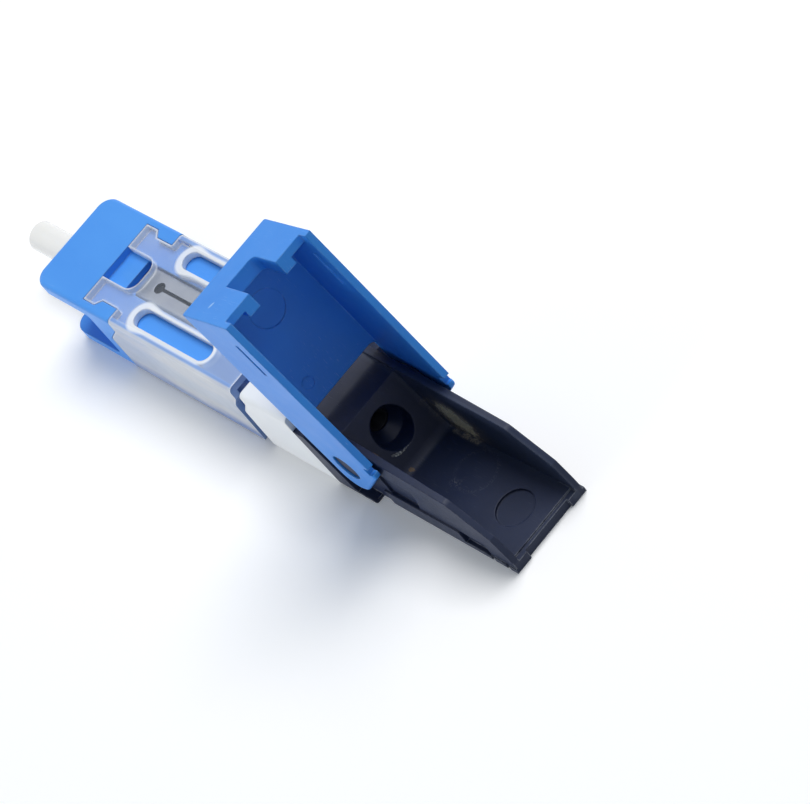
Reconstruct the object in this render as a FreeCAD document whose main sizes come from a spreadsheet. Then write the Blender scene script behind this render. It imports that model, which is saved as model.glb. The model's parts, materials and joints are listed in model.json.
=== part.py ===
"""SC fast connector for field-fitted fibre: a push-pull plug, a mechanical splice and a hinged cable clamp.

The origin lies on the ferrule's axis, in the plane of the plug's front face.
+X runs from the plug to the cable's tail, +Z points up towards the lid's side, and sizes are millimetres.
"""
import FreeCAD, Part
import Sketcher
import math
import os
import re

doc = FreeCAD.newDocument("fast_connector")
sheet = doc.addObject("Spreadsheet::Sheet", "Sizes")

# Driving dimensions: lengths in millimetres, angles in degrees
SIZES = {
    # plug section and the sliding coupling grip
    "plug_width": 9.0,
    "plug_height": 7.4,
    "grip_length": 21.2,
    "grip_front_round": 1.3,
    "grip_edge_round": 0.35,
    "grip_plate": 1.2,
    "grip_side": 1.3,
    "latch_slot": 6.5,
    "latch_slot_round": 0.5,
    # clear pull sleeve that saddles the grip
    "sleeve_plate": 0.6,
    "sleeve_wall": 0.55,
    "sleeve_gap": 0.05,
    "sleeve_lift": 0.15,
    "sleeve_round": 0.4,
    "shoulder_x": 10.0,
    "shoulder_lead": 2.4,
    "shoulder_drop": 1.3,
    "shoulder_foot": 3.5,
    "sleeve_rear": 24.1,
    "step_depth": 1.4,
    "step_foot": 2.8,
    "step_drop": 1.1,
    "step_round": 0.9,
    "tab_tip": 6.2,
    "tab_head": 1.4,
    "tab_lead": 0.5,
    "tab_inner": 1.5,
    "tab_neck_inset": 1.3,
    "tab_head_inset": 0.7,
    "notch_end": 9.95,
    "notch_round": 1.0,
    "window_start": 12.15,
    "window_length": 9.35,
    "window_width": 1.65,
    "window_inset": 1.65,
    "pull_travel": 1.0,
    "travel_gap": 0.15,
    # inner frame, ferrule and its spring
    "frame_front": 0.9,
    "frame_rear": 9.0,
    "frame_gap": 0.15,
    "frame_round": 0.3,
    "mouth_radius": 1.9,
    "mouth_depth": 1.7,
    "throat_radius": 1.4,
    "throat_length": 0.9,
    "ferrule_radius": 1.25,
    "ferrule_reach": 7.6,
    "ferrule_chamfer": 0.35,
    "press_gap": 0.02,
    "stop_gap": 0.05,
    "flange_radius": 1.85,
    "flange_length": 1.4,
    "flange_back": 0.3,
    "stem_radius": 1.0,
    "stem_length": 1.7,
    "running_gap": 0.08,
    "fibre_hole": 0.4,
    "spigot_length": 1.0,
    "spring_wire": 0.32,
    "spring_turns": 4,
    # splice body, its clamp and the fibre guide
    "splice_rear": 29.5,
    "clamp_start": 9.4,
    "clamp_length": 10.2,
    "clamp_play": 0.1,
    "base_width": 2.1,
    "base_height": 1.0,
    "groove_depth": 0.3,
    "plate_drop": 0.95,
    "fibre_nip": 0.06,
    "clip_sheet": 0.25,
    "clip_play": 0.05,
    "clip_legs": 0.9,
    "clip_eye_x": 11.4,
    "clip_eye": 0.5,
    "clip_slit": 0.28,
    "clip_slit_end": 17.8,
    "guide_radius": 0.85,
    "guide_bore": 0.35,
    "guide_rear": 35.6,
    "guide_funnel": 0.8,
    "seat_gap": 0.05,
    # white rear body
    "seam_top": 32.05,
    "seam_low": 33.1,
    "body_round": 0.4,
    # black cable trough
    "hinge_x": 37.4,
    "hinge_z": 1.1,
    "pin_radius": 1.2,
    "pin_clearance": 0.05,
    "pin_recess": 0.15,
    "boss_radius": 1.75,
    "boss_height": 0.2,
    "trough_gap": 0.3,
    "wall_front": 0.6,
    "wall_rear": 0.5,
    "taper_start": 41.5,
    "taper_end": 46.8,
    "trough_floor": 0.9,
    "trough_tail": 52.2,
    "tail_relief": 0.2,
    "tail_corner": 1.5,
    "lip_length": 0.5,
    "lip_drop": 0.12,
    "wall_drop": 0.15,
    "wall_kink_x": 48.1,
    "wall_kink_z": 2.15,
    "wall_kink_round": 0.8,
    "wall_slope_x": 51.35,
    "wall_slope_z": -0.3,
    "wall_end_x": 52.0,
    "wall_end_z": -2.0,
    "crease_x": 36.1,
    "crease_drop": 1.3,
    "block_drop": 0.55,
    "block_foot": 38.6,
    "cheek_drop": 1.2,
    "cheek_rear": 37.3,
    "cheek_strip": 0.3,
    "ear_relief": 3.35,
    "ledge_width": 0.15,
    "ledge_height": 1.7,
    "ledge_end": 46.9,
    "plate_edge": 0.45,
    "pocket_radius": 6.0,
    "pocket_depth": 0.22,
    "pocket_top": 0.6,
    "catch_start": 46.9,
    "catch_length": 2.6,
    "nick_length": 0.35,
    "nick_gap": 1.6,
    "ring_x": 48.8,
    "ring_radius": 1.55,
    "ring_depth": 0.2,
    "funnel_mouth": 1.6,
    "funnel_depth": 0.9,
    # hinged blue lid
    "lid_open": 107.5,
    "lid_wall": 0.55,
    "lid_plate": 0.6,
    "lid_reach": 16.1,
    "lid_edge_round": 0.2,
    "rim_lift": 0.1,
    "rim_start": 0.95,
    "rim_rise": 0.8,
    "lobe_rise": 0.4,
    "ear_front": 2.7,
    "ear_toe": 0.2,
    "ear_heel": 0.3,
    "ear_toe_round": 0.4,
    "ear_heel_round": 1.6,
    "ear_top_round": 1.6,
    "plate_start": 3.9,
    "plate_corner": 0.6,
    "notch_width": 2.86,
    "notch_top": 2.65,
    "notch_corner": 0.6,
    "collar_width": 1.05,
    "collar_depth": 0.6,
    "end_wall": 0.65,
    "end_lift": 0.95,
    "slot_start": 10.9,
    "slot_length": 3.1,
    "slot_height": 0.45,
    "slot_rise": 1.3,
    "mark_x": 11.75,
    "mark_radius": 1.45,
    "small_mark_x": 5.6,
    "small_mark_y": 1.7,
    "small_mark_radius": 0.5,
    "mark_depth": 0.06,
}
for row, (alias, size) in enumerate(SIZES.items(), start=1):
    sheet.set(f"A{row}", alias)
    sheet.set(f"B{row}", str(size))
    sheet.setAlias(f"B{row}", alias)
doc.recompute()

# Places that several pieces share, written in terms of the driving dimensions
HALF_WIDTH = "plug_width / 2"
TOP = "plug_height / 2"
BOTTOM = "-plug_height / 2"
BEYOND = 2.0
CAVITY_TOP = f"({TOP} - grip_plate)"
CAVITY_SIDE = f"({HALF_WIDTH} - grip_side)"
SEAT_TOP = f"({TOP} - sleeve_plate - sleeve_gap)"
SEAT_SIDE = f"({HALF_WIDTH} - sleeve_wall - sleeve_gap)"
FRAME_SIDE = f"({CAVITY_SIDE} - frame_gap)"
FRAME_TOP = f"({CAVITY_TOP} - frame_gap)"
FLANGE_FRONT = "(frame_front + mouth_depth + throat_length + stop_gap)"
CHAMBER = "(flange_radius + running_gap)"
SPRING_SEAT = "(frame_rear - spigot_length)"
PLATE_TOP = f"({TOP} - plate_drop)"
CLAMP_END = "(clamp_start + clamp_length)"
CLIP_SIDE = "(base_width / 2 + clip_play + clip_sheet)"
CLIP_FRONT = "(clamp_start + 2 * clamp_play)"
BODY_LOW = "(sleeve_rear + pull_travel + travel_gap)"
FLOOR = f"({BOTTOM} + trough_floor)"
TROUGH_SIDE = f"({HALF_WIDTH} - lid_wall - trough_gap)"
CHANNEL_FRONT = f"({TROUGH_SIDE} - wall_front)"
CHANNEL_REAR = f"({TROUGH_SIDE} - wall_rear)"
WALL_TOP = f"({TOP} - lid_plate - wall_drop)"
BLOCK_TOP = f"({TOP} - block_drop)"
CHEEK_TOP = f"({TOP} - cheek_drop)"
SHOULDER_HIGH = f"({TOP} - shoulder_drop)"
SHOULDER_LOW = f"({TOP} - shoulder_foot)"
STEP_HIGH = f"({TOP} - step_drop)"
STEP_LOW = f"({TOP} - step_foot)"
LID_TOP = f"({TOP} - hinge_z)"
LID_RIM = f"({BOTTOM} + rim_lift - hinge_z)"
LID_INSIDE = f"({HALF_WIDTH} - lid_wall)"

# Each plane's two sketch directions follow the part's axes; on XZ the sketch's normal is -Y
PLANE_SIGN = {"XY": 1, "YZ": 1, "XZ": -1}


def bound(text):
    """Turn words of the size list into references to the sheet."""
    return re.sub(r"[a-z_]+", lambda word: f"Sizes.{word[0]}" if word[0] in SIZES else word[0], str(text))


def minus(text):
    return f"-({text})"


def seam_x(height):
    """Where the slanted seam between the white body and the black block lies at a height."""
    return f"(seam_top + (seam_low - seam_top) * ({TOP} - ({height})) / plug_height)"


def relief_x(height):
    """The cheek's rear edge at a height: a line beside the open lid's top, clear of the turning ears."""
    turn = "lid_open * 1 deg"
    along = f"(({height}) - hinge_z - ear_relief * cos({turn})) / sin({turn})"
    return f"(hinge_x - ear_relief * sin({turn}) + {along} * cos({turn}))"


class Piece:
    """One moulded, turned or formed piece: a body with sketched features, bound to the sheet."""

    def __init__(self, label):
        self.body = doc.addObject("PartDesign::Body", label)
        self.body.Label = label
        self.origin = {feature.Role: feature for feature in self.body.Origin.OriginFeatures}

    def sketch(self, plane, offset):
        sketch = self.body.newObject("Sketcher::SketchObject", "outline")
        sketch.AttachmentSupport = [(self.origin[f"{plane}_Plane"], "")]
        sketch.MapMode = "FlatFace"
        sketch.setExpression("AttachmentOffset.Base.z", bound(offset))
        return sketch

    def outline(self, plane, points, offset="0"):
        """A closed outline of straight sides, each corner held by two bound distances from the origin."""
        sketch = self.sketch(plane, offset)
        count = len(points)
        for index in range(count):
            # a rough unit ring, which the bound distances then pull into place
            here = 2 * math.pi * index / count
            ahead = 2 * math.pi * (index + 1) / count
            start = FreeCAD.Vector(math.cos(here), math.sin(here), 0)
            end = FreeCAD.Vector(math.cos(ahead), math.sin(ahead), 0)
            sketch.addGeometry(Part.LineSegment(start, end), False)
        for index in range(count):
            sketch.addConstraint(Sketcher.Constraint("Coincident", index, 2, (index + 1) % count, 1))
        for index, point in enumerate(points):
            for kind, text in zip(("DistanceX", "DistanceY"), point):
                held = sketch.addConstraint(Sketcher.Constraint(kind, -1, 1, index, 1, 1.0))
                sketch.setExpression(f"Constraints[{held}]", bound(text))
        doc.recompute()
        return sketch

    def circle(self, plane, centre, radius, offset="0"):
        sketch = self.sketch(plane, offset)
        sketch.addGeometry(Part.Circle(FreeCAD.Vector(1, 1, 0), FreeCAD.Vector(0, 0, 1), 1.0), False)
        for kind, text in zip(("DistanceX", "DistanceY"), centre):
            held = sketch.addConstraint(Sketcher.Constraint(kind, -1, 1, 0, 3, 1.0))
            sketch.setExpression(f"Constraints[{held}]", bound(text))
        held = sketch.addConstraint(Sketcher.Constraint("Radius", 0, 1.0))
        sketch.setExpression(f"Constraints[{held}]", bound(radius))
        doc.recompute()
        return sketch

    def feature(self, kind, plane, shape, low, high):
        """Add (Pad) or remove (Pocket) an outline between two distances along the plane's own axis."""
        near, far = (low, high) if PLANE_SIGN[plane] > 0 else (minus(high), minus(low))
        offset = near if kind == "Pad" else far
        if isinstance(shape, tuple):
            sketch = self.circle(plane, *shape, offset)
        else:
            sketch = self.outline(plane, shape, offset)
        before = self.body.Shape.Volume if self.body.Tip else 0.0
        feature = self.body.newObject(f"PartDesign::{kind}", kind.lower())
        feature.Profile = sketch
        feature.setExpression("Length", bound(f"({high}) - ({low})"))
        doc.recompute()
        gained = feature.Shape.Volume - before
        if (gained > 0) != (kind == "Pad"):
            raise RuntimeError(f"{self.body.Label}: a {kind} on {plane} changed the volume by {gained:.4f}")
        return sketch

    def pad(self, plane, shape, low, high):
        return self.feature("Pad", plane, shape, low, high)

    def pocket(self, plane, shape, low, high):
        return self.feature("Pocket", plane, shape, low, high)

    def turn(self, points):
        """A turned piece: its half profile in the XY plane goes round the X axis."""
        sketch = self.outline("XY", points)
        feature = self.body.newObject("PartDesign::Revolution", "turned")
        feature.Profile = sketch
        feature.ReferenceAxis = (self.origin["X_Axis"], [""])
        feature.Angle = 360.0
        doc.recompute()

    def bore(self, points):
        """A turned hollow, cut round the X axis."""
        sketch = self.outline("XY", points)
        before = self.body.Shape.Volume
        feature = self.body.newObject("PartDesign::Groove", "bored")
        feature.Profile = sketch
        feature.ReferenceAxis = (self.origin["X_Axis"], [""])
        feature.Angle = 360.0
        doc.recompute()
        if feature.Shape.Volume >= before:
            raise RuntimeError(f"{self.body.Label}: the bore cut nothing")

    def round(self, radius, chosen):
        """Round every edge of the finished form that the test picks."""
        base = self.body.Tip
        edges = enumerate(base.Shape.Edges, start=1)
        names = [f"Edge{number}" for number, edge in edges if chosen(edge)]
        fillet = self.body.newObject("PartDesign::Fillet", "rounded")
        fillet.Base = (base, names)
        fillet.setExpression("Radius", bound(radius))
        doc.recompute()
        if not names or "Invalid" in fillet.State:
            raise RuntimeError(f"{self.body.Label}: rounding {names} by {radius} failed")

    def round_corners(self, radius, sketch, corners):
        """Round the edges that an outline's numbered corners drew when it was padded or pocketed."""
        places = [sketch.Placement.multVec(sketch.Geometry[index].StartPoint) for index in corners]
        normal = sketch.Placement.Rotation.multVec(FreeCAD.Vector(0, 0, 1))

        def drawn_by_corner(edge):
            if not straight(edge, normal):
                return False
            start = edge.Vertexes[0].Point
            return any((start - place).cross(normal).Length < NEAR for place in places)

        self.round(radius, drawn_by_corner)


NEAR = 1e-4
ALONG_X = FreeCAD.Vector(1, 0, 0)
ALONG_Z = FreeCAD.Vector(0, 0, 1)


def straight(edge, direction):
    if not isinstance(edge.Curve, Part.Line):
        return False
    return edge.tangentAt(edge.FirstParameter).cross(direction).Length < NEAR


def along_side(piece, level="any"):
    """A test for the straight lengthwise edges of a piece's two outermost sides, at one level or at any."""
    box = piece.body.Shape.BoundBox

    def chosen(edge):
        at = edge.Vertexes[0].Point
        outermost = abs(at.y) > box.YMax - NEAR
        levels = {"any": True, "top": at.z > box.ZMax - NEAR, "bottom": at.z < box.ZMin + NEAR}
        return straight(edge, ALONG_X) and outermost and levels[level]

    return chosen


def block(low_x, high_x, low_y, high_y):
    return [(low_x, low_y), (high_x, low_y), (high_x, high_y), (low_x, high_y)]


def across(side, top):
    """A section centred on the X axis, drawn on YZ."""
    return block(minus(side), side, minus(top), top)


def both_sides(low, high):
    """The near and the far stretch of a feature that stands at the same distance on either side."""
    return [(low, high), (minus(high), minus(low))]


def coupling_grip():
    """Blue push-pull housing: two plates at the front, a four-sided box behind, and the sleeve's seat."""
    grip = Piece("coupling_grip")
    grip.pad("YZ", across(HALF_WIDTH, TOP), "0", "grip_length")

    def front_corner(edge):
        return straight(edge, ALONG_Z) and edge.Vertexes[0].X < NEAR

    grip.round("grip_front_round", front_corner)
    grip.round("grip_edge_round", along_side(grip))
    grip.pocket("YZ", across(CAVITY_SIDE, CAVITY_TOP), "0", "grip_length")
    # open slots for the adapter's latch hooks, one in each narrow side
    opening = block(-BEYOND, "latch_slot", minus(CAVITY_TOP), CAVITY_TOP)
    slot = grip.pocket("XZ", opening, "-plug_width", "plug_width")
    grip.round_corners("latch_slot_round", slot, (1, 2))
    # the seat that the sleeve's top plate and side walls lie on
    behind = f"grip_length + {BEYOND}"
    grip.pocket("XZ", block("shoulder_x", behind, SEAT_TOP, "plug_height"), "-plug_width", "plug_width")
    low_x = "shoulder_x - shoulder_lead"
    seat = [
        ("shoulder_x", "plug_height"), ("shoulder_x", SHOULDER_HIGH), (low_x, SHOULDER_LOW),
        (low_x, "-plug_height"), (behind, "-plug_height"), (behind, "plug_height"),
    ]
    for low, high in both_sides(SEAT_SIDE, "plug_width"):
        grip.pocket("XZ", seat, low, high)
    # beds that hook the sleeve's two headed tabs, and the low floor between them
    for sign in (1, -1):
        bed = [(x, f"{sign} * ({y})") for x, y in tab_outline("sleeve_gap", "shoulder_x + sleeve_gap")]
        grip.pocket("XY", bed, SEAT_TOP, "plug_height")
    floor = block("tab_tip - sleeve_gap", "shoulder_x + sleeve_gap", "-tab_inner", "tab_inner")
    grip.pocket("XY", floor, SEAT_TOP, "plug_height")
    # the slot that the splice's clip stands in, long enough for the pull
    slot_side = "tab_inner - sleeve_gap"
    slot_start = f"{CLIP_FRONT} - pull_travel - travel_gap"
    grip.pocket("XY", block(slot_start, behind, minus(slot_side), slot_side), "0", "plug_height")
    return grip


def tab_outline(grown, root):
    """Half plan of one headed tab from its root forwards, grown all round by a fit gap."""
    tip = f"tab_tip - {grown}"
    head = f"tab_tip + tab_head + {grown}"
    outer = f"{HALF_WIDTH} - tab_head_inset + {grown}"
    neck = f"{HALF_WIDTH} - tab_neck_inset + {grown}"
    inner = f"tab_inner - {grown}"
    throat = f"{head} + tab_lead"
    return [(root, inner), (tip, inner), (tip, outer), (head, outer), (throat, neck), (root, neck)]


def pull_sleeve():
    """Clear saddle over the grip, hooked to it by two headed tabs, with an oval window on each side."""
    sleeve = Piece("pull_sleeve")
    front = "shoulder_x + sleeve_gap"
    rear_top = "sleeve_rear + step_depth"
    # the plate is drawn round one half and back round the other
    half = tab_outline("0", front)
    half[0] = ("notch_end", "tab_inner")
    half += [(front, HALF_WIDTH), (rear_top, HALF_WIDTH)]
    plan = half + [(x, minus(y)) for x, y in reversed(half)]
    plate = sleeve.pad("XY", plan, f"{TOP} - sleeve_plate", TOP)
    low_x = f"{front} - shoulder_lead"
    low_z = f"{BOTTOM} + sleeve_lift"
    side = [
        (front, TOP), (front, SHOULDER_HIGH), (low_x, SHOULDER_LOW), (low_x, low_z), ("sleeve_rear", low_z),
        ("sleeve_rear", STEP_LOW), (rear_top, STEP_HIGH), (rear_top, TOP),
    ]
    for low, high in both_sides(f"{HALF_WIDTH} - sleeve_wall", HALF_WIDTH):
        wall = sleeve.pad("XZ", side, low, high)
    sleeve.round_corners("step_round", wall, (1, 2, 5, 6))
    sleeve.round_corners("notch_round", plate, (0, len(plan) - 1))

    sleeve.round("sleeve_round", along_side(sleeve, "top"))
    for sign in (1, -1):
        middle = f"{sign} * ({HALF_WIDTH} - window_inset)"
        low = f"{middle} - window_width / 2"
        high = f"{middle} + window_width / 2"
        oval = block("window_start", "window_start + window_length", low, high)
        window = sleeve.pocket("XY", oval, "0", "plug_height")
        sleeve.round_corners("window_width * 0.49", window, (0, 1, 2, 3))
    return sleeve


def plug_frame():
    """Inner front frame: the mouth for the adapter's sleeve, the throat and the spring chamber."""
    frame = Piece("plug_frame")
    frame.pad("YZ", across(FRAME_SIDE, FRAME_TOP), "frame_front", "frame_rear")
    frame.round("frame_round", along_side(frame))
    throat = "frame_front + mouth_depth"
    chamber = f"{throat} + throat_length"
    frame.bore([
        ("frame_front", 0), ("frame_front", "mouth_radius"),
        (throat, "mouth_radius"), (throat, "throat_radius"),
        (chamber, "throat_radius"), (chamber, CHAMBER), ("frame_rear", CHAMBER), ("frame_rear", 0),
    ])
    return frame


def splice_body():
    """Inner rear frame: a spigot in the chamber, a slot for the splice and a bore for the fibre guide."""
    splice = Piece("splice_body")
    splice.pad("YZ", across(FRAME_SIDE, FRAME_TOP), "frame_rear", "splice_rear")
    splice.round("frame_round", along_side(splice))
    splice.pad("YZ", ((0, 0), f"{CHAMBER} - seat_gap"), SPRING_SEAT, "frame_rear")
    slot_side = f"{CLIP_SIDE} + seat_gap"
    slot = block("clamp_start", CLAMP_END, minus(slot_side), slot_side)
    splice.pocket("XY", slot, "-base_height", "plug_height")
    splice.pocket("YZ", ((0, 0), "fibre_hole"), SPRING_SEAT, "clamp_start")
    splice.pocket("YZ", ((0, 0), "guide_radius + seat_gap"), CLAMP_END, "splice_rear")
    return splice


def ferrule():
    """Zirconia ferrule with a chamfered tip; the fibre stub is bonded in it and polished flush."""
    piece = Piece("ferrule")
    rear = f"{FLANGE_FRONT} + flange_length - flange_back - press_gap"
    piece.turn([
        ("-ferrule_reach", 0), ("-ferrule_reach", "ferrule_radius - ferrule_chamfer"),
        ("-ferrule_reach + ferrule_chamfer", "ferrule_radius"), (rear, "ferrule_radius"), (rear, 0),
    ])
    return piece


def ferrule_flange():
    """Metal holder pressed on the ferrule: a flange that the spring pushes and a stem that it goes round."""
    piece = Piece("ferrule_flange")
    back = f"{FLANGE_FRONT} + flange_length"
    floor = f"{back} - flange_back"
    end = f"{back} + stem_length"
    seat = "ferrule_radius + press_gap"
    piece.turn([
        (FLANGE_FRONT, seat), (FLANGE_FRONT, "flange_radius"), (back, "flange_radius"), (back, "stem_radius"),
        (end, "stem_radius"), (end, "fibre_hole"), (floor, "fibre_hole"), (floor, seat),
    ])
    return piece


def ferrule_spring():
    """Coil spring between the flange and the spigot."""
    spring = Piece("ferrule_spring")
    back = f"{FLANGE_FRONT} + flange_length"
    first = f"{back} + spring_wire / 2 + stop_gap"
    height = f"({SPRING_SEAT} - ({back}) - spring_wire - 2 * stop_gap)"
    middle = f"({CHAMBER} + stem_radius) / 2"
    flats = [f"({45 * number + 22.5} deg)" for number in range(8)]
    wire = spring.outline("XY", [
        (f"{first} + spring_wire / 2 * cos{flat}", f"{middle} + spring_wire / 2 * sin{flat}")
        for flat in flats
    ])
    coil = spring.body.newObject("PartDesign::AdditiveHelix", "coil")
    coil.Profile = wire
    coil.ReferenceAxis = (spring.origin["X_Axis"], [""])
    coil.Mode = "height-turns-angle"
    coil.setExpression("Height", bound(height))
    coil.setExpression("Turns", bound("spring_turns"))
    doc.recompute()
    return spring


def v_groove_base():
    """Lower half of the mechanical splice, with the groove that lines up the two fibres."""
    base = Piece("v_groove_base")
    side = "base_width / 2"
    base.pad("YZ", [
        (minus(side), "-base_height"), (side, "-base_height"), (side, 0), ("groove_depth", 0),
        (0, "-groove_depth"), ("-groove_depth", 0), (minus(side), 0),
    ], "clamp_start + clamp_play", f"{CLAMP_END} - clamp_play")
    return base


def clamp_plate():
    """Upper half of the splice, which the clip presses on the fibres."""
    plate = Piece("clamp_plate")
    side = "base_width / 2"
    plate.pad("YZ", block(minus(side), side, "fibre_nip", PLATE_TOP),
              "clamp_start + clamp_play", f"{CLAMP_END} - clamp_play")
    return plate


def clamp_clip():
    """Spring-steel clip folded over both halves, with a round eye and a slit along its back."""
    clip = Piece("clamp_clip")
    inner = "base_width / 2 + clip_play"
    back = f"{PLATE_TOP} + clip_sheet"
    end = f"{CLAMP_END} - 2 * clamp_play"
    half = [(inner, PLATE_TOP), (inner, "-clip_legs"), (CLIP_SIDE, "-clip_legs"), (CLIP_SIDE, back)]
    section = half + [(minus(y), z) for y, z in reversed(half)]
    clip.pad("YZ", section, CLIP_FRONT, end)
    clip.round("clip_sheet * 0.9", along_side(clip, "top"))
    slit = block("clip_eye_x", "clip_slit_end", "-clip_slit / 2", "clip_slit / 2")
    clip.pocket("XY", slit, "fibre_nip", TOP)
    clip.pocket("XY", (("clip_eye_x", 0), "clip_eye"), "fibre_nip", TOP)
    return clip


def fibre_guide():
    """Tube that leads the bare fibre from the trough's funnel to the splice."""
    guide = Piece("fibre_guide")
    front = f"{CLAMP_END} + clamp_play"
    guide.turn([
        (front, "guide_bore"), (front, "guide_radius"), ("guide_rear", "guide_radius"),
        ("guide_rear", "guide_radius - clamp_play"), ("guide_rear - guide_funnel", "guide_bore"),
    ])
    return guide


def main_body():
    """White rear body: stepped front edges that follow the sleeve, a socket and a slanted seam."""
    body = Piece("main_body")
    top_x = f"{BODY_LOW} + step_depth"
    side = body.pad("XZ", [
        (top_x, TOP), (top_x, STEP_HIGH), (BODY_LOW, STEP_LOW), (BODY_LOW, BOTTOM),
        (seam_x(BOTTOM), BOTTOM), (seam_x(TOP), TOP),
    ], minus(HALF_WIDTH), HALF_WIDTH)
    body.round_corners("step_round", side, (1, 2))

    body.round("body_round", along_side(body))
    body.pocket("YZ", across(f"{FRAME_SIDE} + seat_gap", f"{FRAME_TOP} + seat_gap"),
                f"{BODY_LOW} - {BEYOND}", "splice_rear + seat_gap")
    body.pocket("YZ", ((0, 0), "guide_radius + seat_gap"), "splice_rear", "seam_low")
    return body


def cable_trough():
    """Black tail: a block with hinge pins, then a trough whose walls dip, kink and run down to the tail."""
    trough = Piece("cable_trough")
    # the long side view, block and walls in one, with the cable's channel then cut along it
    view = trough.pad("XZ", [
        (seam_x(BOTTOM), BOTTOM), ("trough_tail", BOTTOM), ("trough_tail", FLOOR),
        ("wall_end_x", "wall_end_z"),
        ("wall_slope_x", "wall_slope_z"), ("wall_kink_x", "wall_kink_z"), ("block_foot", WALL_TOP),
        (seam_x(BLOCK_TOP), BLOCK_TOP),
    ], minus(TROUGH_SIDE), TROUGH_SIDE)
    trough.round_corners("wall_kink_round", view, (5,))
    beyond_tail = f"trough_tail + {BEYOND}"
    channel = trough.pocket("XZ", [
        (seam_x(BLOCK_TOP), BLOCK_TOP), ("crease_x", f"{TOP} - crease_drop"), ("block_foot", FLOOR),
        (beyond_tail, FLOOR), (beyond_tail, "plug_height"), (seam_x(BLOCK_TOP), "plug_height"),
    ], minus(CHANNEL_FRONT), CHANNEL_FRONT)
    trough.round_corners("trough_floor", channel, (2,))
    # towards the tail the walls grow thinner on the inside
    for sign in (1, -1):
        taper = [
            ("taper_start", CHANNEL_FRONT), ("taper_end", CHANNEL_REAR), (beyond_tail, CHANNEL_REAR),
            (beyond_tail, CHANNEL_FRONT),
        ]
        trough.pocket("XY", [(x, f"{sign} * ({y})") for x, y in taper], FLOOR, "plug_height")
    # a ledge along the foot of each wall, and a thinner edge with two nicks from there to the tail
    ledge_side = f"{TROUGH_SIDE} + ledge_width"
    ledge_top = f"{BOTTOM} + ledge_height"
    edge_top = f"{BOTTOM} + plate_edge"
    for low, high in both_sides(CHANNEL_REAR, ledge_side):
        trough.pad("XY", block("block_foot", "ledge_end", low, high), BOTTOM, ledge_top)
    trough.pad("XY", block("ledge_end", "trough_tail", minus(ledge_side), ledge_side), BOTTOM, edge_top)
    for number in range(2):
        start = f"catch_start + catch_length + {number} * nick_gap"
        nick = block(start, f"{start} + nick_length", minus("plug_height"), edge_top)
        for low, high in both_sides(TROUGH_SIDE, HALF_WIDTH):
            trough.pocket("XZ", nick, low, high)
    # the tail's edge: a low lip all across, set back between its two corners
    lip = block("trough_tail - lip_length", beyond_tail, minus(CHANNEL_REAR), CHANNEL_REAR)
    trough.pocket("XY", lip, f"{FLOOR} - lip_drop", FLOOR)
    relief_side = f"({ledge_side} - tail_corner)"
    relief = block("trough_tail - tail_relief", beyond_tail, minus(relief_side), relief_side)
    trough.pocket("XY", relief, BOTTOM, FLOOR)
    strip = f"{BOTTOM} + cheek_strip"
    cheek = [
        (seam_x(BOTTOM), BOTTOM), ("cheek_rear", BOTTOM), ("cheek_rear", strip), (relief_x(strip), strip),
        (relief_x(CHEEK_TOP), CHEEK_TOP), (seam_x(CHEEK_TOP), CHEEK_TOP),
    ]
    for low, high in both_sides(f"{TROUGH_SIDE} - pocket_depth", HALF_WIDTH):
        trough.pad("XZ", cheek, low, high)

    trough.round("cheek_strip * 0.8", along_side(trough, "bottom"))
    hinge = ("hinge_x", "hinge_z")
    for low, high in both_sides(f"{TROUGH_SIDE} - pocket_depth", f"{HALF_WIDTH} - pin_recess"):
        trough.pad("XZ", (hinge, "pin_radius"), low, high)
    for low, high in both_sides(f"{TROUGH_SIDE} - pocket_depth", f"{TROUGH_SIDE} + boss_height"):
        trough.pad("XZ", (hinge, "boss_radius"), low, high)
    # shallow pocket behind the hinge, ended by the arc that the lid's rim swings past, and the catch's recess
    arc_x = "hinge_x + sqrt(pocket_radius ^ 2 - ({0} - hinge_z) ^ 2)"
    halfway = f"({ledge_top} + pocket_top) / 2"
    pocket = [
        ("hinge_x + boss_radius + pocket_depth", ledge_top),
        (arc_x.format(ledge_top), ledge_top), (arc_x.format(halfway), halfway),
        (arc_x.format("pocket_top"), "pocket_top"),
        ("hinge_x + boss_radius + pocket_depth", "pocket_top"),
    ]
    catch = block("catch_start", "catch_start + catch_length", edge_top, ledge_top)
    for low, high in both_sides(f"{TROUGH_SIDE} - pocket_depth", f"{HALF_WIDTH}"):
        trough.pocket("XZ", pocket, low, high)
        trough.pocket("XZ", catch, low, high)
    trough.pocket("XY", (("ring_x", 0), "ring_radius"), f"{FLOOR} - ring_depth", FLOOR)
    bore = "guide_radius + seat_gap"
    mouth = "guide_rear + funnel_depth"
    trough.bore([
        ("seam_top", 0), ("seam_top", bore), ("guide_rear + seat_gap", bore), (mouth, "funnel_mouth"),
        ("block_foot + funnel_depth", "funnel_mouth"), ("block_foot + funnel_depth", 0),
    ])
    return trough


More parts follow.
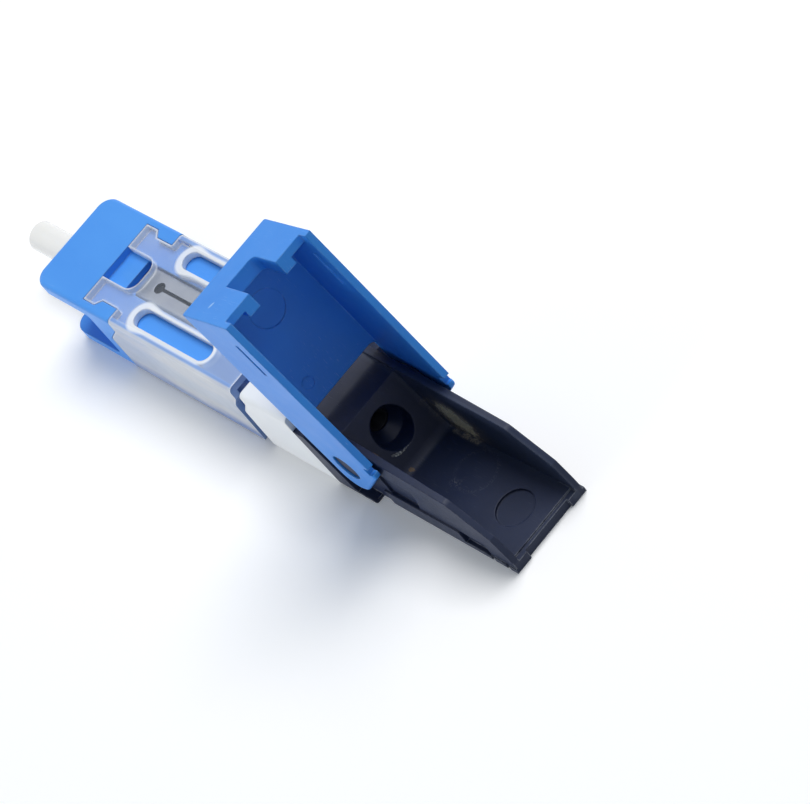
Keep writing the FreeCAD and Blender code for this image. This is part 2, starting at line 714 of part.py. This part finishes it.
def clamp_lid():
    """Blue lid, drawn closed about its own hinge axis and then turned open."""
    lid = Piece("clamp_lid")
    # the closed side view: a box, a groove at the rim's end, then an ear that leans out to its rounded top
    groove = f"{LID_RIM} + rim_rise"
    toe = f"{LID_RIM} + lobe_rise"
    view = [
        ("lid_reach", LID_TOP), ("lid_reach", LID_RIM), ("rim_start", LID_RIM), ("rim_start", groove),
        ("ear_toe", groove), ("ear_toe", toe), ("-ear_toe", toe),
        ("-ear_front", "ear_heel"), ("-ear_front", LID_TOP),
    ]
    lid.pad("XY", block("plate_start - 2 * plate_corner", "lid_reach", minus(HALF_WIDTH), HALF_WIDTH),
            f"{LID_TOP} - lid_plate", LID_TOP)
    for low, high in both_sides(LID_INSIDE, HALF_WIDTH):
        walls = lid.pad("XZ", view, low, high)
    lid.round_corners("ear_toe_round", walls, (6,))
    lid.round_corners("ear_heel_round", walls, (7,))
    lid.round_corners("ear_top_round", walls, (8,))
    gap = block("-ear_front", "plate_start", minus(LID_INSIDE), LID_INSIDE)
    mouth = lid.pocket("XY", gap, LID_RIM, "plug_height")
    lid.round_corners("plate_corner", mouth, (1, 2))
    end_rim = f"{LID_RIM} + end_lift"
    lid.pad("YZ", block(minus(LID_INSIDE), LID_INSIDE, end_rim, LID_TOP), "lid_reach - end_wall", "lid_reach")
    notch_side = "notch_width / 2"
    notch_top = f"{LID_TOP} - notch_top"
    collar_side = f"{notch_side} + collar_width"
    collar_start = "lid_reach - end_wall - collar_depth"
    collar = block(collar_start, "lid_reach - end_wall / 2", minus(collar_side), collar_side)
    lid.pad("XY", collar, end_rim, f"{notch_top} + collar_depth")

    lid.round("lid_edge_round", along_side(lid, "top"))
    notch = block(minus(notch_side), notch_side, minus("plug_height"), notch_top)
    cut = lid.pocket("YZ", notch, "lid_reach - end_wall - 2 * collar_depth", "lid_reach")
    lid.round_corners("notch_corner", cut, (2,))
    slot_z = f"{LID_RIM} + slot_rise"
    lid.pocket("XZ", block("slot_start", "slot_start + slot_length", slot_z, f"{slot_z} + slot_height"),
               "-plug_width", "plug_width")
    lid.pocket("XZ", ((0, 0), "pin_radius + pin_clearance"), "-plug_width", "plug_width")
    # round ejector marks inside the top, a large one and a small one
    inside = f"{LID_TOP} - lid_plate"
    lid.pocket("XY", (("mark_x", 0), "mark_radius"), inside, f"{inside} + mark_depth")
    small = ("small_mark_x", "-small_mark_y")
    lid.pocket("XY", (small, "small_mark_radius"), inside, f"{inside} + mark_depth")
    lid.body.Placement = FreeCAD.Placement(FreeCAD.Vector(), FreeCAD.Rotation(FreeCAD.Vector(0, 1, 0), -90))
    lid.body.setExpression("Placement.Base.x", bound("hinge_x"))
    lid.body.setExpression("Placement.Base.z", bound("hinge_z"))
    lid.body.setExpression("Placement.Rotation.Angle", bound("-lid_open * 1 deg"))
    doc.recompute()
    return lid


PIECES = [
    coupling_grip(), pull_sleeve(), plug_frame(), splice_body(),
    ferrule(), ferrule_flange(), ferrule_spring(),
    v_groove_base(), clamp_plate(), clamp_clip(), fibre_guide(), main_body(), cable_trough(), clamp_lid(),
]
doc.recompute()

for item in doc.Objects:
    if "Invalid" in item.State or "Error" in item.State:
        raise RuntimeError(f"{item.Label} failed: {item.State}")
for piece in PIECES:
    shape = piece.body.Shape
    if shape.isNull() or not shape.isValid() or len(shape.Solids) != 1:
        raise RuntimeError(f"{piece.body.Label} is not one sound solid: {len(shape.Solids)} solids")

os.makedirs("parts", exist_ok=True)
for piece in PIECES:
    piece.body.Shape.exportStep(f"parts/{piece.body.Label}.step")
    print(f"{piece.body.Label}: {piece.body.Shape.Volume:.2f} mm3")
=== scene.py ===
"""Looks of the fast connector: moulded plastics, a clear sleeve, a ceramic ferrule and a worn trough.

Everything is in metres, in the part's own frame: +X from the plug to the tail, +Z up towards the lid's side.
The finishes give their places and sizes in millimetres.
"""
import json

import bpy
from mathutils import Matrix, Vector


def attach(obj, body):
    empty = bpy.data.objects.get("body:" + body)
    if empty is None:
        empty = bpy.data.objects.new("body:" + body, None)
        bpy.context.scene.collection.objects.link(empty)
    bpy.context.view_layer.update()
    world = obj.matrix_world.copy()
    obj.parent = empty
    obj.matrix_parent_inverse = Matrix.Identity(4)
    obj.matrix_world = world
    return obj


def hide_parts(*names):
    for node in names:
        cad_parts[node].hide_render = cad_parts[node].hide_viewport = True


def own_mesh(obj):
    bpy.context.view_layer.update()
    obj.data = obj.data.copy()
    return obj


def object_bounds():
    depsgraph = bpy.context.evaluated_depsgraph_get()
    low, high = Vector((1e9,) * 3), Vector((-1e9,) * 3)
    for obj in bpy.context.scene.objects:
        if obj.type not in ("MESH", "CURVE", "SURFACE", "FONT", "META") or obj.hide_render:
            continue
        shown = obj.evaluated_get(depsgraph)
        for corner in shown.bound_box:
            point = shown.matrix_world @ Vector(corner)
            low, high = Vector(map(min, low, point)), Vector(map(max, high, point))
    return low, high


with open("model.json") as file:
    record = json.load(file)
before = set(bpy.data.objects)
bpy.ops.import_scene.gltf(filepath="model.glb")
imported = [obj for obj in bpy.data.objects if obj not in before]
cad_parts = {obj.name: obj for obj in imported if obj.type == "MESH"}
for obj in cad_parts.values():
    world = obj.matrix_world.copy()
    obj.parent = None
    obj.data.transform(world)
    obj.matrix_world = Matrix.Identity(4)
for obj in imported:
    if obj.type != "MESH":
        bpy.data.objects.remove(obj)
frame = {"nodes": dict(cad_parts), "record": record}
cad_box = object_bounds()
MM = 0.001
FLOOR_HEIGHT = cad_box[0].z

# how much the moulded pieces reflect
BLUE_SHEEN = 0.2
SLEEVE_SHEEN = 0.6
SPLICE_SHEEN = 0.15
TROUGH_SHEEN = 0.24

# the sleeve's two windows, in millimetres
WINDOW_MIDDLE = 16.825
WINDOW_HALF_RUN = 3.85
WINDOW_ASIDE = 2.85
WINDOW_RADIUS = 0.825

# the trough's far wall, the stain on its floor and the ferrule's end face, in millimetres
FAR_WALL = 3.08
STAIN_ALONG = 43.7
STAIN_ACROSS = 0.95
STAIN_RADIUS = 1.75
FIBRE_RADIUS = 0.06
FERRULE_TIP = -7.6

# the light: what the table and the surroundings give off, and where the lamps point
TABLE_SIZE = 6
TABLE_GLOW = 0.1
DIM_LIGHT = 0.26
WHITE_TO_EYE = 1.0
LAMP_TARGET = Vector((0.03, 0, 0.004))


class Wire:
    """A socket of a finish's node tree; arithmetic on wires adds the nodes that work it out."""

    def __init__(self, finish, socket):
        self.finish = finish
        self.socket = socket

    def maths(self, operation, first, second):
        return self.finish.node("ShaderNodeMath", {"operation": operation}, {0: first, 1: second})

    def __add__(self, other):
        return self.maths("ADD", self, other)

    def __radd__(self, other):
        return self.maths("ADD", other, self)

    def __sub__(self, other):
        return self.maths("SUBTRACT", self, other)

    def __rsub__(self, other):
        return self.maths("SUBTRACT", other, self)

    def __mul__(self, other):
        return self.maths("MULTIPLY", self, other)

    def __rmul__(self, other):
        return self.maths("MULTIPLY", other, self)

    def __pow__(self, other):
        return self.maths("POWER", self, other)

    def __abs__(self):
        return self.at_least(self * -1)

    def at_least(self, other):
        return self.maths("MAXIMUM", self, other)

    def at_most(self, other):
        return self.maths("MINIMUM", self, other)


class Finish:
    """A procedural finish, drawn in the part's own coordinates."""

    def __init__(self, name, owner=None):
        if owner is None:
            owner = bpy.data.materials.new(name)
        self.owner = owner
        self.owner.use_nodes = True
        self.tree = self.owner.node_tree
        self.tree.nodes.clear()

    def node(self, kind, settings, sockets, output=0):
        """A node of a kind, its settings first and then the values or wires of its sockets."""
        made = self.tree.nodes.new(kind)
        for name, setting in settings.items():
            setattr(made, name, setting)
        for name, given in sockets.items():
            if isinstance(given, Wire):
                self.tree.links.new(given.socket, made.inputs[name])
            else:
                made.inputs[name].default_value = given
        return Wire(self, made.outputs[output]) if made.outputs else None

    def place(self):
        """Where a point is, in the part's own frame."""
        return self.node("ShaderNodeTexCoord", {}, {}, "Object")

    def along(self, axis):
        """The distance along one of the part's axes, in millimetres."""
        split = self.node("ShaderNodeSeparateXYZ", {}, {"Vector": self.place()}, axis)
        return split * (1 / MM)

    def noise(self, size, detail, stretch=(1, 1, 1)):
        """Noise with blotches of about the given size in millimetres, drawn out along the axes by stretch."""
        scale = [1 / (size * MM * way) for way in stretch]
        spread = self.node("ShaderNodeMapping", {}, {"Vector": self.place(), "Scale": scale})
        sockets = {"Vector": spread, "Scale": 1.0, "Detail": detail, "Roughness": 0.5}
        return self.node("ShaderNodeTexNoise", {}, sockets)

    def between(self, value, low, high):
        """0 below low, 1 above high, and smooth from one to the other."""
        sockets = {"Value": value, "From Min": low, "From Max": high}
        return self.node("ShaderNodeMapRange", {"interpolation_type": "SMOOTHSTEP"}, sockets)

    def mix(self, share, first, second):
        """From one colour to another."""
        return self.node("ShaderNodeMix", {"data_type": "RGBA"}, {0: share, 6: first, 7: second}, 2)

    def dot(self, first, second):
        return self.node("ShaderNodeVectorMath", {"operation": "DOT_PRODUCT"}, {0: first, 1: second}, "Value")

    def patch(self, centre, direction, length, width, ragged, grain):
        """A blot round a point of the part, drawn out along a direction: 1 inside, 0 outside, ragged rim."""
        shift = {0: self.place(), 1: [at * MM for at in centre]}
        away = self.node("ShaderNodeVectorMath", {"operation": "SUBTRACT"}, shift)
        run = Vector(direction).normalized()
        down = self.dot(away, list(run / (length * MM)))
        whole = self.dot(away, away)
        reach = down * (length * MM)
        side = (whole - reach * reach) * (1 / (width * MM) ** 2)
        rim = (down * down + side) ** 0.5 + (self.noise(grain, 4.0) - 0.5) * (2 * ragged)
        return 1 - self.between(rim, 0.55, 1.0)

    def soft_edges(self, radius):
        """The surface's direction with its sharp edges rounded off by a radius in millimetres."""
        return self.node("ShaderNodeBevel", {"samples": 6}, {"Radius": radius * MM})

    def edges(self, radius):
        """1 along the edges, 0 on the flats."""
        flat = self.node("ShaderNodeNewGeometry", {}, {}, "Normal")
        return self.between(1 - self.dot(self.soft_edges(radius), flat), 0.01, 0.12)

    def relief(self, height, depth, radius):
        """Fine relief, a depth in millimetres, over the surface with its edges rounded off."""
        soft = self.soft_edges(radius)
        sockets = {"Strength": 1.0, "Distance": depth * MM, "Height": height, "Normal": soft}
        return self.node("ShaderNodeBump", {}, sockets)

    def scratches(self, size, stretch, low, high):
        """Thin streaks drawn out along one axis, broken up into short lengths."""
        streaks = self.between(self.noise(size, 2.0, stretch), low, high)
        return streaks * self.between(self.noise(4.0, 2.0), 0.48, 0.62)

    def show(self, shader):
        """Puts a shader on the material, and gives the material."""
        self.node("ShaderNodeOutputMaterial", {}, {"Surface": shader})
        return self.owner

    def surface(self, sockets):
        return self.show(self.node("ShaderNodeBsdfPrincipled", {}, sockets))


def glossy_blue(name, light, deep, scratched):
    """Blue moulded plastic: a faint flow in its colour, paler edges, fine scratches and a slight waviness."""
    rubbed_blue = (0.34, 0.56, 0.95, 1)
    dusty_blue = (0.6, 0.7, 0.85, 1)
    finish = Finish(name)
    flow = finish.noise(5.0, 3.0, (2.5, 1, 1))
    colour = finish.mix(finish.between(flow, 0.3, 0.7), deep, light)
    rubbed = finish.edges(0.18) * finish.between(finish.noise(0.6, 4.0), 0.35, 0.7)
    lines = finish.scratches(0.05, (30, 1, 14), 0.66, 0.74) * scratched
    worn = (rubbed * 0.35 + lines).at_most(0.6)
    colour = finish.mix(worn, colour, rubbed_blue)
    dust = finish.between(finish.noise(0.16, 2.0), 0.76, 0.82)
    colour = finish.mix(dust * 0.25, colour, dusty_blue)
    rough = 0.3 + finish.noise(1.4, 3.0) * 0.14 + worn * 0.3
    waves = finish.noise(2.2, 2.0) * 0.8 + finish.noise(0.09, 2.0) * 0.12
    return finish, colour, rough, finish.relief(waves, 0.02, 0.16)


def coupling_blue():
    """The grip's and the plug's blue, hardly scratched."""
    light = (0.085, 0.335, 0.87, 1)
    deep = (0.072, 0.305, 0.84, 1)
    finish, colour, rough, normal = glossy_blue("coupling_blue", light, deep, scratched=0.2)
    return finish.surface({
        "Base Color": colour, "Roughness": rough, "Normal": normal, "Specular IOR Level": BLUE_SHEEN,
    })


def lid_blue():
    """The lid's blue, deeper and more scratched, with a pale nick on its end face."""
    light = (0.042, 0.27, 0.79, 1)
    deep = (0.036, 0.243, 0.75, 1)
    nick_blue = (0.55, 0.78, 0.97, 1)
    finish, colour, rough, normal = glossy_blue("lid_blue", light, deep, scratched=0.35)
    nick = finish.patch((32.7, -3.1, 16.5), (0.3, 1, 0.1), 0.42, 0.14, 0.45, 0.2)
    colour = finish.mix(nick * 0.45, colour, nick_blue)
    return finish.surface({
        "Base Color": colour, "Roughness": rough, "Normal": normal, "Specular IOR Level": BLUE_SHEEN,
    })


def window_highlight_rings(finish, along, from_middle):
    """1 on the painted highlight round each of the sleeve's windows, which is wider at the windows' front
    ends.
    """
    past_ends = (abs(along - WINDOW_MIDDLE) - WINDOW_HALF_RUN).at_least(0)
    beside = from_middle - WINDOW_ASIDE
    from_window = (past_ends * past_ends + beside * beside) ** 0.5 - WINDOW_RADIUS
    highlight_width = 0.28 + 0.3 * (1 - finish.between(along, 12.2, 14.5))
    return 1 - finish.between(from_window - highlight_width, -0.12, 0.2)


def clear_sleeve():
    """Clear plastic, milky in its thick sides, with painted highlights along its rims and round its two oval
    windows.
    """
    cloud_deep = (0.66, 0.74, 0.87, 1)
    cloud_light = (0.72, 0.79, 0.89, 1)
    grip_through = (0.2, 0.39, 0.83, 1)
    side_milk = (0.88, 0.89, 0.90, 1)
    bottom_shade = (0.24, 0.36, 0.72, 1)
    side_band = (0.62, 0.72, 0.89, 1)
    rim_highlight = (0.95, 0.96, 0.98, 1)
    gap_shade = (0.2, 0.33, 0.64, 1)
    finish = Finish("clear_sleeve")
    along = finish.along("X")
    from_middle = abs(finish.along("Y"))
    height = finish.along("Z")
    facing = finish.node("ShaderNodeNewGeometry", {}, {}, "Normal")
    upright = 1 - finish.between(abs(finish.dot(facing, (0, 0, 1))), 0.3, 0.7)
    sides = finish.between(from_middle, 4.2, 4.42)
    # painted highlight: the rims, the windows' walls and the rings round the windows are painted near white,
    # as if catching the light
    walls = upright * (1 - finish.between(from_middle, 3.7, 3.9))
    ring_highlight = window_highlight_rings(finish, along, from_middle)
    bright = (finish.edges(0.4) * (1 - sides * 0.6) + walls + ring_highlight * (1 - sides)).at_most(1)
    cloud = finish.between(finish.noise(2.5, 3.0, (3, 1, 1)), 0.3, 0.7)
    colour = finish.mix(cloud, cloud_deep, cloud_light)
    # the grip's blue is painted on strips beside and behind the windows, as if seen through; painted shade:
    # the sides turn a deeper blue towards the bottom
    behind = finish.between(along, 21.2, 21.9) * finish.between(from_middle, 1.2, 1.8) * 0.7
    strips = (1 - upright) * finish.between(from_middle, 3.85, 4.05).at_least(behind) * (1 - sides)
    colour = finish.mix(strips * 0.9, colour, grip_through)
    low = 1 - finish.between(height + cloud * 0.6, -3.0, -1.6)
    milk = finish.mix(low, side_milk, bottom_shade)
    bands = finish.between(finish.noise(1.8, 2.0, (6, 1, 1)), 0.42, 0.62)
    milk = finish.mix(bands * 0.4, milk, side_band)
    colour = finish.mix(sides, colour, milk)
    # painted highlight: near white on the rims and round the windows
    colour = finish.mix(bright * 0.9, colour, rim_highlight)
    # painted shade: the ends that face the gap are painted the dark blue of the shaded gap
    ends = finish.between(finish.dot(facing, (1, 0, 0)), 0.4, 0.7) * finish.between(along, 23.0, 23.2)
    colour = finish.mix(ends, colour, gap_shade)
    graze = finish.node("ShaderNodeLayerWeight", {}, {"Blend": 0.2}, "Facing")
    milky = 0.04 + finish.between(from_middle, 0.9, 1.6) * 0.14 + cloud * 0.05
    alpha = (milky + strips * 0.55 + sides * 0.5 + bright * 0.6 + ends * 0.8 + graze * 0.1).at_most(0.93)
    rough = 0.14 + finish.noise(0.8, 3.0) * 0.12
    normal = finish.relief(finish.noise(1.8, 2.0), 0.03, 0.2)
    return finish.surface({
        "Base Color": colour, "Roughness": rough, "Alpha": alpha, "Normal": normal,
        "Specular IOR Level": SLEEVE_SHEEN,
    })


def matte(name, first, second, paler, rough, depth):
    """Satin moulded plastic with a fine spark-eroded grain and slightly rubbed, paler edges."""
    finish = Finish(name)
    colour = finish.mix(finish.between(finish.noise(4.0, 3.0), 0.3, 0.7), first, second)
    rubbed = finish.edges(0.16) * finish.between(finish.noise(0.5, 4.0), 0.4, 0.7)
    colour = finish.mix(rubbed * 0.4, colour, paler)
    gloss = rough + finish.noise(1.2, 3.0) * 0.15
    grain = finish.noise(0.07, 2.0) * 0.4 + finish.noise(1.6, 2.0) * 0.6
    return finish, colour, gloss, finish.relief(grain, depth, 0.15)


def body_white():
    """The rear body's cool white."""
    first = (0.84, 0.86, 0.88, 1)
    second = (0.88, 0.89, 0.90, 1)
    paler = (0.96, 0.96, 0.96, 1)
    finish, colour, rough, normal = matte("body_white", first, second, paler, rough=0.34, depth=0.02)
    return finish.surface({"Base Color": colour, "Roughness": rough, "Normal": normal})


def inner_dark():
    """The deep blue of the inner rear frame, which shows in the stepped gap."""
    first = (0.035, 0.095, 0.31, 1)
    second = (0.045, 0.115, 0.36, 1)
    paler = (0.12, 0.22, 0.48, 1)
    finish, colour, rough, normal = matte("inner_dark", first, second, paler, rough=0.4, depth=0.02)
    return finish.surface({"Base Color": colour, "Roughness": rough, "Normal": normal})


def splice_grey():
    """The near-black grey of the splice's halves and the fibre's guide."""
    first = (0.010, 0.011, 0.016, 1)
    second = (0.014, 0.015, 0.021, 1)
    paler = (0.05, 0.05, 0.06, 1)
    finish, colour, rough, normal = matte("splice_grey", first, second, paler, rough=0.5, depth=0.015)
    return finish.surface({
        "Base Color": colour, "Roughness": rough, "Normal": normal, "Specular IOR Level": SPLICE_SHEEN,
    })


def wall_scuff(finish, colour, specks):
    """Painted light on the far wall's inner face, a lighter navy, and a yellowish scuff on it, painted
    brighter as well, kept off its outer face.
    """
    far_wall_light = (0.032, 0.044, 0.08, 1)
    brown = (0.25, 0.21, 0.16, 1)
    tan = (0.62, 0.51, 0.34, 1)
    straw = (1.0, 0.85, 0.52, 1)
    slant = (0.86, 0, -0.5)
    across = finish.along("Y")
    inside = finish.between(across, 2.5, 2.9) * (1 - finish.between(across, 3.2, 3.4))
    # painted light: the far wall's inner face is painted a lighter navy
    colour = finish.mix(inside * (0.6 + specks * 0.2), colour, far_wall_light)
    feather = finish.patch((40.9, FAR_WALL, -0.9), (0.97, 0, -0.2), 4.0, 2.4, 0.5, 0.7) * inside
    colour = finish.mix(feather * (0.12 + specks * 0.3), colour, brown)
    # painted light: the scuff's colours are made brighter, standing in for light on the wall
    scuff = finish.patch((40.6, FAR_WALL, -1.1), slant, 2.6, 2.3, 0.5, 0.5) * inside
    colour = finish.mix(scuff * (0.3 + specks * 0.5), colour, tan)
    core = finish.patch((40.75, FAR_WALL, -1.05), slant, 2.2, 1.5, 0.55, 0.4) * inside
    return finish.mix(core * (0.65 + specks * 0.35), colour, straw), scuff


def funnel_rubs(finish, colour, specks):
    """A pale rub on the lower rim of the fibre's hole, fainter towards the far side, and two brown spots."""
    chalk = (0.7, 0.7, 0.66, 1)
    rust = (0.27, 0.17, 0.08, 1)
    near = finish.patch((37.93, -1.15, -1.39), (0.1, 0.45, -0.23), 0.55, 0.15, 0.5, 0.2)
    far = finish.patch((38.0, -0.3, -1.54), (-0.02, 0.67, 0.04), 0.6, 0.12, 0.6, 0.2)
    rub = (near + far * 0.6).at_most(1)
    colour = finish.mix(rub * (0.25 + specks * 0.75), colour, chalk)
    below = finish.patch((38.57, -1.35, -2.75), (1, 0.3, 0), 0.5, 0.22, 0.6, 0.25)
    beside = finish.patch((37.4, -2.35, -0.31), (0.4, 0.2, -0.8), 0.5, 0.2, 0.6, 0.25)
    return finish.mix((below + beside).at_most(1) * 0.6, colour, rust), rub


def floor_marks(finish, colour, specks, on_floor):
    """Fine scratches, a faint round stain on the trough's floor and a blot beside it."""
    faint_grey = (0.14, 0.15, 0.18, 1)
    stain_x = finish.along("X") - STAIN_ALONG
    stain_y = finish.along("Y") - STAIN_ACROSS
    from_rim = (stain_x * stain_x + stain_y * stain_y) ** 0.5 - STAIN_RADIUS
    stain = (1 - finish.between(abs(from_rim), 0.05, 0.22)) * on_floor
    blot = finish.patch((42.8, -0.5, -2.8), (1, 0.4, 0), 0.8, 0.4, 0.7, 0.5)
    lines = finish.scratches(0.045, (26, 1, 8), 0.66, 0.73)
    faint = (lines * 0.3 + blot * specks * 0.25 + stain * specks * 0.2).at_most(1)
    return finish.mix(faint, colour, faint_grey), lines


def trough_black():
    """Satin navy black, marked by use on its far wall, at the funnel and on its floor; with painted light on
    the far wall, painted shade on the block and painted highlights along its bottom edges.
    """
    first = (0.010, 0.0172, 0.046, 1)
    second = (0.013, 0.021, 0.054, 1)
    paler = (0.09, 0.10, 0.15, 1)
    block_shade_navy = (0.005, 0.011, 0.04, 1)
    edge_highlight_grey = (0.36, 0.38, 0.44, 1)
    finish, colour, rough, normal = matte("trough_black", first, second, paler, rough=0.36, depth=0.025)
    specks = finish.between(finish.noise(0.14, 3.0), 0.46, 0.64)
    along = finish.along("X")
    height = finish.along("Z")
    on_floor = 1 - finish.between(height, -2.7, -2.6)
    # painted shade: the block in front of the channel is painted a deeper navy than the rest
    block = 1 - finish.between(along, 38.3, 38.8)
    colour = finish.mix(block * 0.45, colour, block_shade_navy)
    colour, scuff = wall_scuff(finish, colour, specks)
    colour, rub = funnel_rubs(finish, colour, specks)
    colour, lines = floor_marks(finish, colour, specks, on_floor)
    # painted highlight: the bottom edges and the tail's edge are painted pale here and there, as lit edges
    low = 1 - finish.between(height, -3.3, -3.1)
    at_tail = finish.between(along, 50.4, 50.7) * on_floor
    in_patches = finish.between(finish.noise(0.9, 3.0), 0.3, 0.55)
    lit_edges = finish.edges(0.14) * (low + at_tail * 0.8).at_most(1) * in_patches
    colour = finish.mix(lit_edges * 0.6, colour, edge_highlight_grey)
    worn = (scuff + rub + lines).at_most(1)
    return finish.surface({
        "Base Color": colour, "Roughness": rough + worn * 0.25, "Normal": normal,
        "Specular IOR Level": TROUGH_SHEEN,
    })


def ferrule_ceramic():
    """Ground zirconia: warm white, glossy, with faint rings from the grinding and the fibre's dark end."""
    deep = (0.85, 0.83, 0.79, 1)
    light = (0.89, 0.87, 0.84, 1)
    fibre_dark = (0.12, 0.13, 0.15, 1)
    finish = Finish("ferrule_ceramic")
    rings = finish.noise(0.06, 2.0, (1, 60, 60))
    colour = finish.mix(finish.noise(2.0, 2.0), deep, light)
    # the bare end of the fibre in the middle of the polished face
    across = finish.along("Y")
    height = finish.along("Z")
    from_axis = (across * across + height * height) ** 0.5
    end_face = 1 - finish.between(finish.along("X"), FERRULE_TIP + 0.1, FERRULE_TIP + 0.2)
    fibre = (1 - finish.between(from_axis, FIBRE_RADIUS, FIBRE_RADIUS + 0.04)) * end_face
    colour = finish.mix(fibre * 0.85, colour, fibre_dark)
    return finish.surface({
        "Base Color": colour, "Roughness": 0.12 + rings * 0.1, "Normal": finish.relief(rings, 0.004, 0.05),
        "IOR": 2.1, "Subsurface Weight": 0.15, "Subsurface Radius": (1.0 * MM, 0.9 * MM, 0.8 * MM),
    })


def turned_metal():
    """The flange's bare metal, with fine rings from turning."""
    deep = (0.62, 0.63, 0.65, 1)
    light = (0.75, 0.76, 0.78, 1)
    finish = Finish("turned_metal")
    rings = finish.noise(0.05, 3.0, (1, 80, 80))
    return finish.surface({
        "Base Color": finish.mix(rings, deep, light), "Metallic": 1.0, "Roughness": 0.24 + rings * 0.18,
        "Normal": finish.relief(rings, 0.006, 0.04),
    })


def spring_sheet():
    """Rolled spring steel: fine grain along the strip and a duller bloom here and there."""
    bright = (0.32, 0.345, 0.40, 1)
    dull = (0.26, 0.28, 0.335, 1)
    finish = Finish("spring_sheet")
    grain = finish.noise(0.04, 3.0, (50, 1, 4))
    bloom = finish.between(finish.noise(1.6, 3.0), 0.4, 0.7)
    return finish.surface({
        "Base Color": finish.mix(bloom, bright, dull), "Metallic": 1.0,
        "Roughness": 0.26 + grain * 0.14 + bloom * 0.12, "Normal": finish.relief(grain, 0.006, 0.05),
    })


FINISHES = {
    "blue_plastic": coupling_blue(),
    "lid_plastic": lid_blue(),
    "clear_plastic": clear_sleeve(),
    "dark_plastic": inner_dark(),
    "black_plastic": trough_black(),
    "white_plastic": body_white(),
    "zirconia": ferrule_ceramic(),
    "flange_metal": turned_metal(),
    "spring_steel": spring_sheet(),
    "splice_plastic": splice_grey(),
}
for piece in frame["record"]["subparts"]:
    for held in frame["nodes"][piece["node"]].material_slots:
        held.material = FINISHES[piece["material_slot"]]


def ferrule_coil():
    """The ferrule's spring, as a copy of its own with its doubled points merged, fixed to the body in place
    of the original.
    """
    packed = frame["nodes"]["ferrule_spring"]
    coil = bpy.data.objects.new("ferrule_coil", packed.data.copy())
    bpy.context.scene.collection.objects.link(coil)
    bpy.ops.object.select_all(action="DESELECT")
    coil.select_set(True)
    bpy.context.view_layer.objects.active = coil
    bpy.ops.object.mode_set(mode="EDIT")
    bpy.ops.mesh.select_all(action="SELECT")
    bpy.ops.mesh.remove_doubles(threshold=1e-7)
    bpy.ops.object.mode_set(mode="OBJECT")
    coil.data.materials.clear()
    coil.data.materials.append(FINISHES["spring_steel"])
    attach(coil, "body")
    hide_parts("ferrule_spring")
    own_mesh(coil)


def seen_by_eye(finish):
    """1 for what the eye sees, straight or through gloss and clear plastic; 0 for the light on the part."""
    camera_ray, gloss_ray, clear_ray = [
        finish.node("ShaderNodeLightPath", {}, {}, f"Is {kind} Ray")
        for kind in ("Camera", "Glossy", "Transmission")
    ]
    return camera_ray.at_least(gloss_ray).at_least(clear_ray)


def floor():
    """A pale table top that the connector lies on, white to the eye."""
    deep = (0.86, 0.865, 0.88, 1)
    light = (0.88, 0.885, 0.895, 1)
    white_to_eye = (1.0, 0.985, 0.98, 1)
    bpy.ops.object.select_all(action="DESELECT")
    bpy.ops.mesh.primitive_plane_add(size=TABLE_SIZE, location=(0, 0, FLOOR_HEIGHT))
    table = bpy.context.object
    table.name = "table_top"
    finish = Finish("table_white")
    eye = seen_by_eye(finish)
    tone = finish.mix(eye, finish.mix(finish.noise(40.0, 2.0), deep, light), white_to_eye)
    matt = finish.node("ShaderNodeBsdfPrincipled", {}, {"Base Color": tone, "Roughness": 0.7})
    glow = finish.node("ShaderNodeEmission", {}, {"Color": (1, 1, 1, 1), "Strength": TABLE_GLOW})
    seen = finish.node("ShaderNodeAddShader", {}, {0: matt, 1: glow})
    white = finish.node("ShaderNodeMixShader", {}, {0: eye, 1: matt, 2: seen})
    table.data.materials.append(finish.show(white))


def surroundings():
    """White all round to the eye, and an even, dimmer light on the part."""
    cool = (0.74, 0.88, 1.0, 1)
    white = (1.0, 1.0, 1.0, 1)
    world = bpy.data.worlds.new("studio")
    bpy.context.scene.world = world
    finish = Finish("studio", world)
    seen = seen_by_eye(finish)
    strength = DIM_LIGHT + seen * (WHITE_TO_EYE - DIM_LIGHT)
    sockets = {"Color": finish.mix(seen, cool, white), "Strength": strength}
    glow = finish.node("ShaderNodeBackground", {}, sockets)
    finish.node("ShaderNodeOutputWorld", {}, {"Surface": glow})


def softbox(name, place, size, power):
    """A square lamp aimed at the middle of the connector."""
    bpy.ops.object.light_add(type="AREA", location=place)
    lamp = bpy.context.object
    lamp.name = name
    lamp.data.size = size
    lamp.data.energy = power
    aim = LAMP_TARGET - Vector(place)
    lamp.rotation_euler = aim.to_track_quat("-Z", "Y").to_euler()


def camera():
    """Down on the lid's open side from beyond the tail, with a long lens turned a little about its axis."""
    eye = Vector((223.8589, -50.4379, 182.6602)) * MM
    right = Vector((0.6271965, 0.6263924, -0.4628793))
    down = Vector((0.3375975, -0.7542121, -0.5631981))
    ahead = Vector((-0.7018921, 0.1969690, -0.6845076))
    bpy.ops.object.camera_add()
    view = bpy.context.object
    view.name = "camera"
    turned = Matrix((right, -down, -ahead)).transposed().to_4x4()
    view.matrix_world = Matrix.Translation(eye) @ turned
    view.data.sensor_fit = "HORIZONTAL"
    view.data.sensor_width = 36.0
    view.data.lens = 166.21
    view.data.clip_start = 0.01
    view.data.clip_end = 20.0
    view.data.dof.use_dof = False
    bpy.context.scene.camera = view


ferrule_coil()
floor()
surroundings()
softbox("key_softbox", place=(-0.04, 0.18, 0.42), size=0.30, power=1.8)
softbox("near_softbox", place=(0.02, -0.50, 0.045), size=0.1, power=0.88)
camera()
bpy.context.scene.view_settings.view_transform = "Standard"
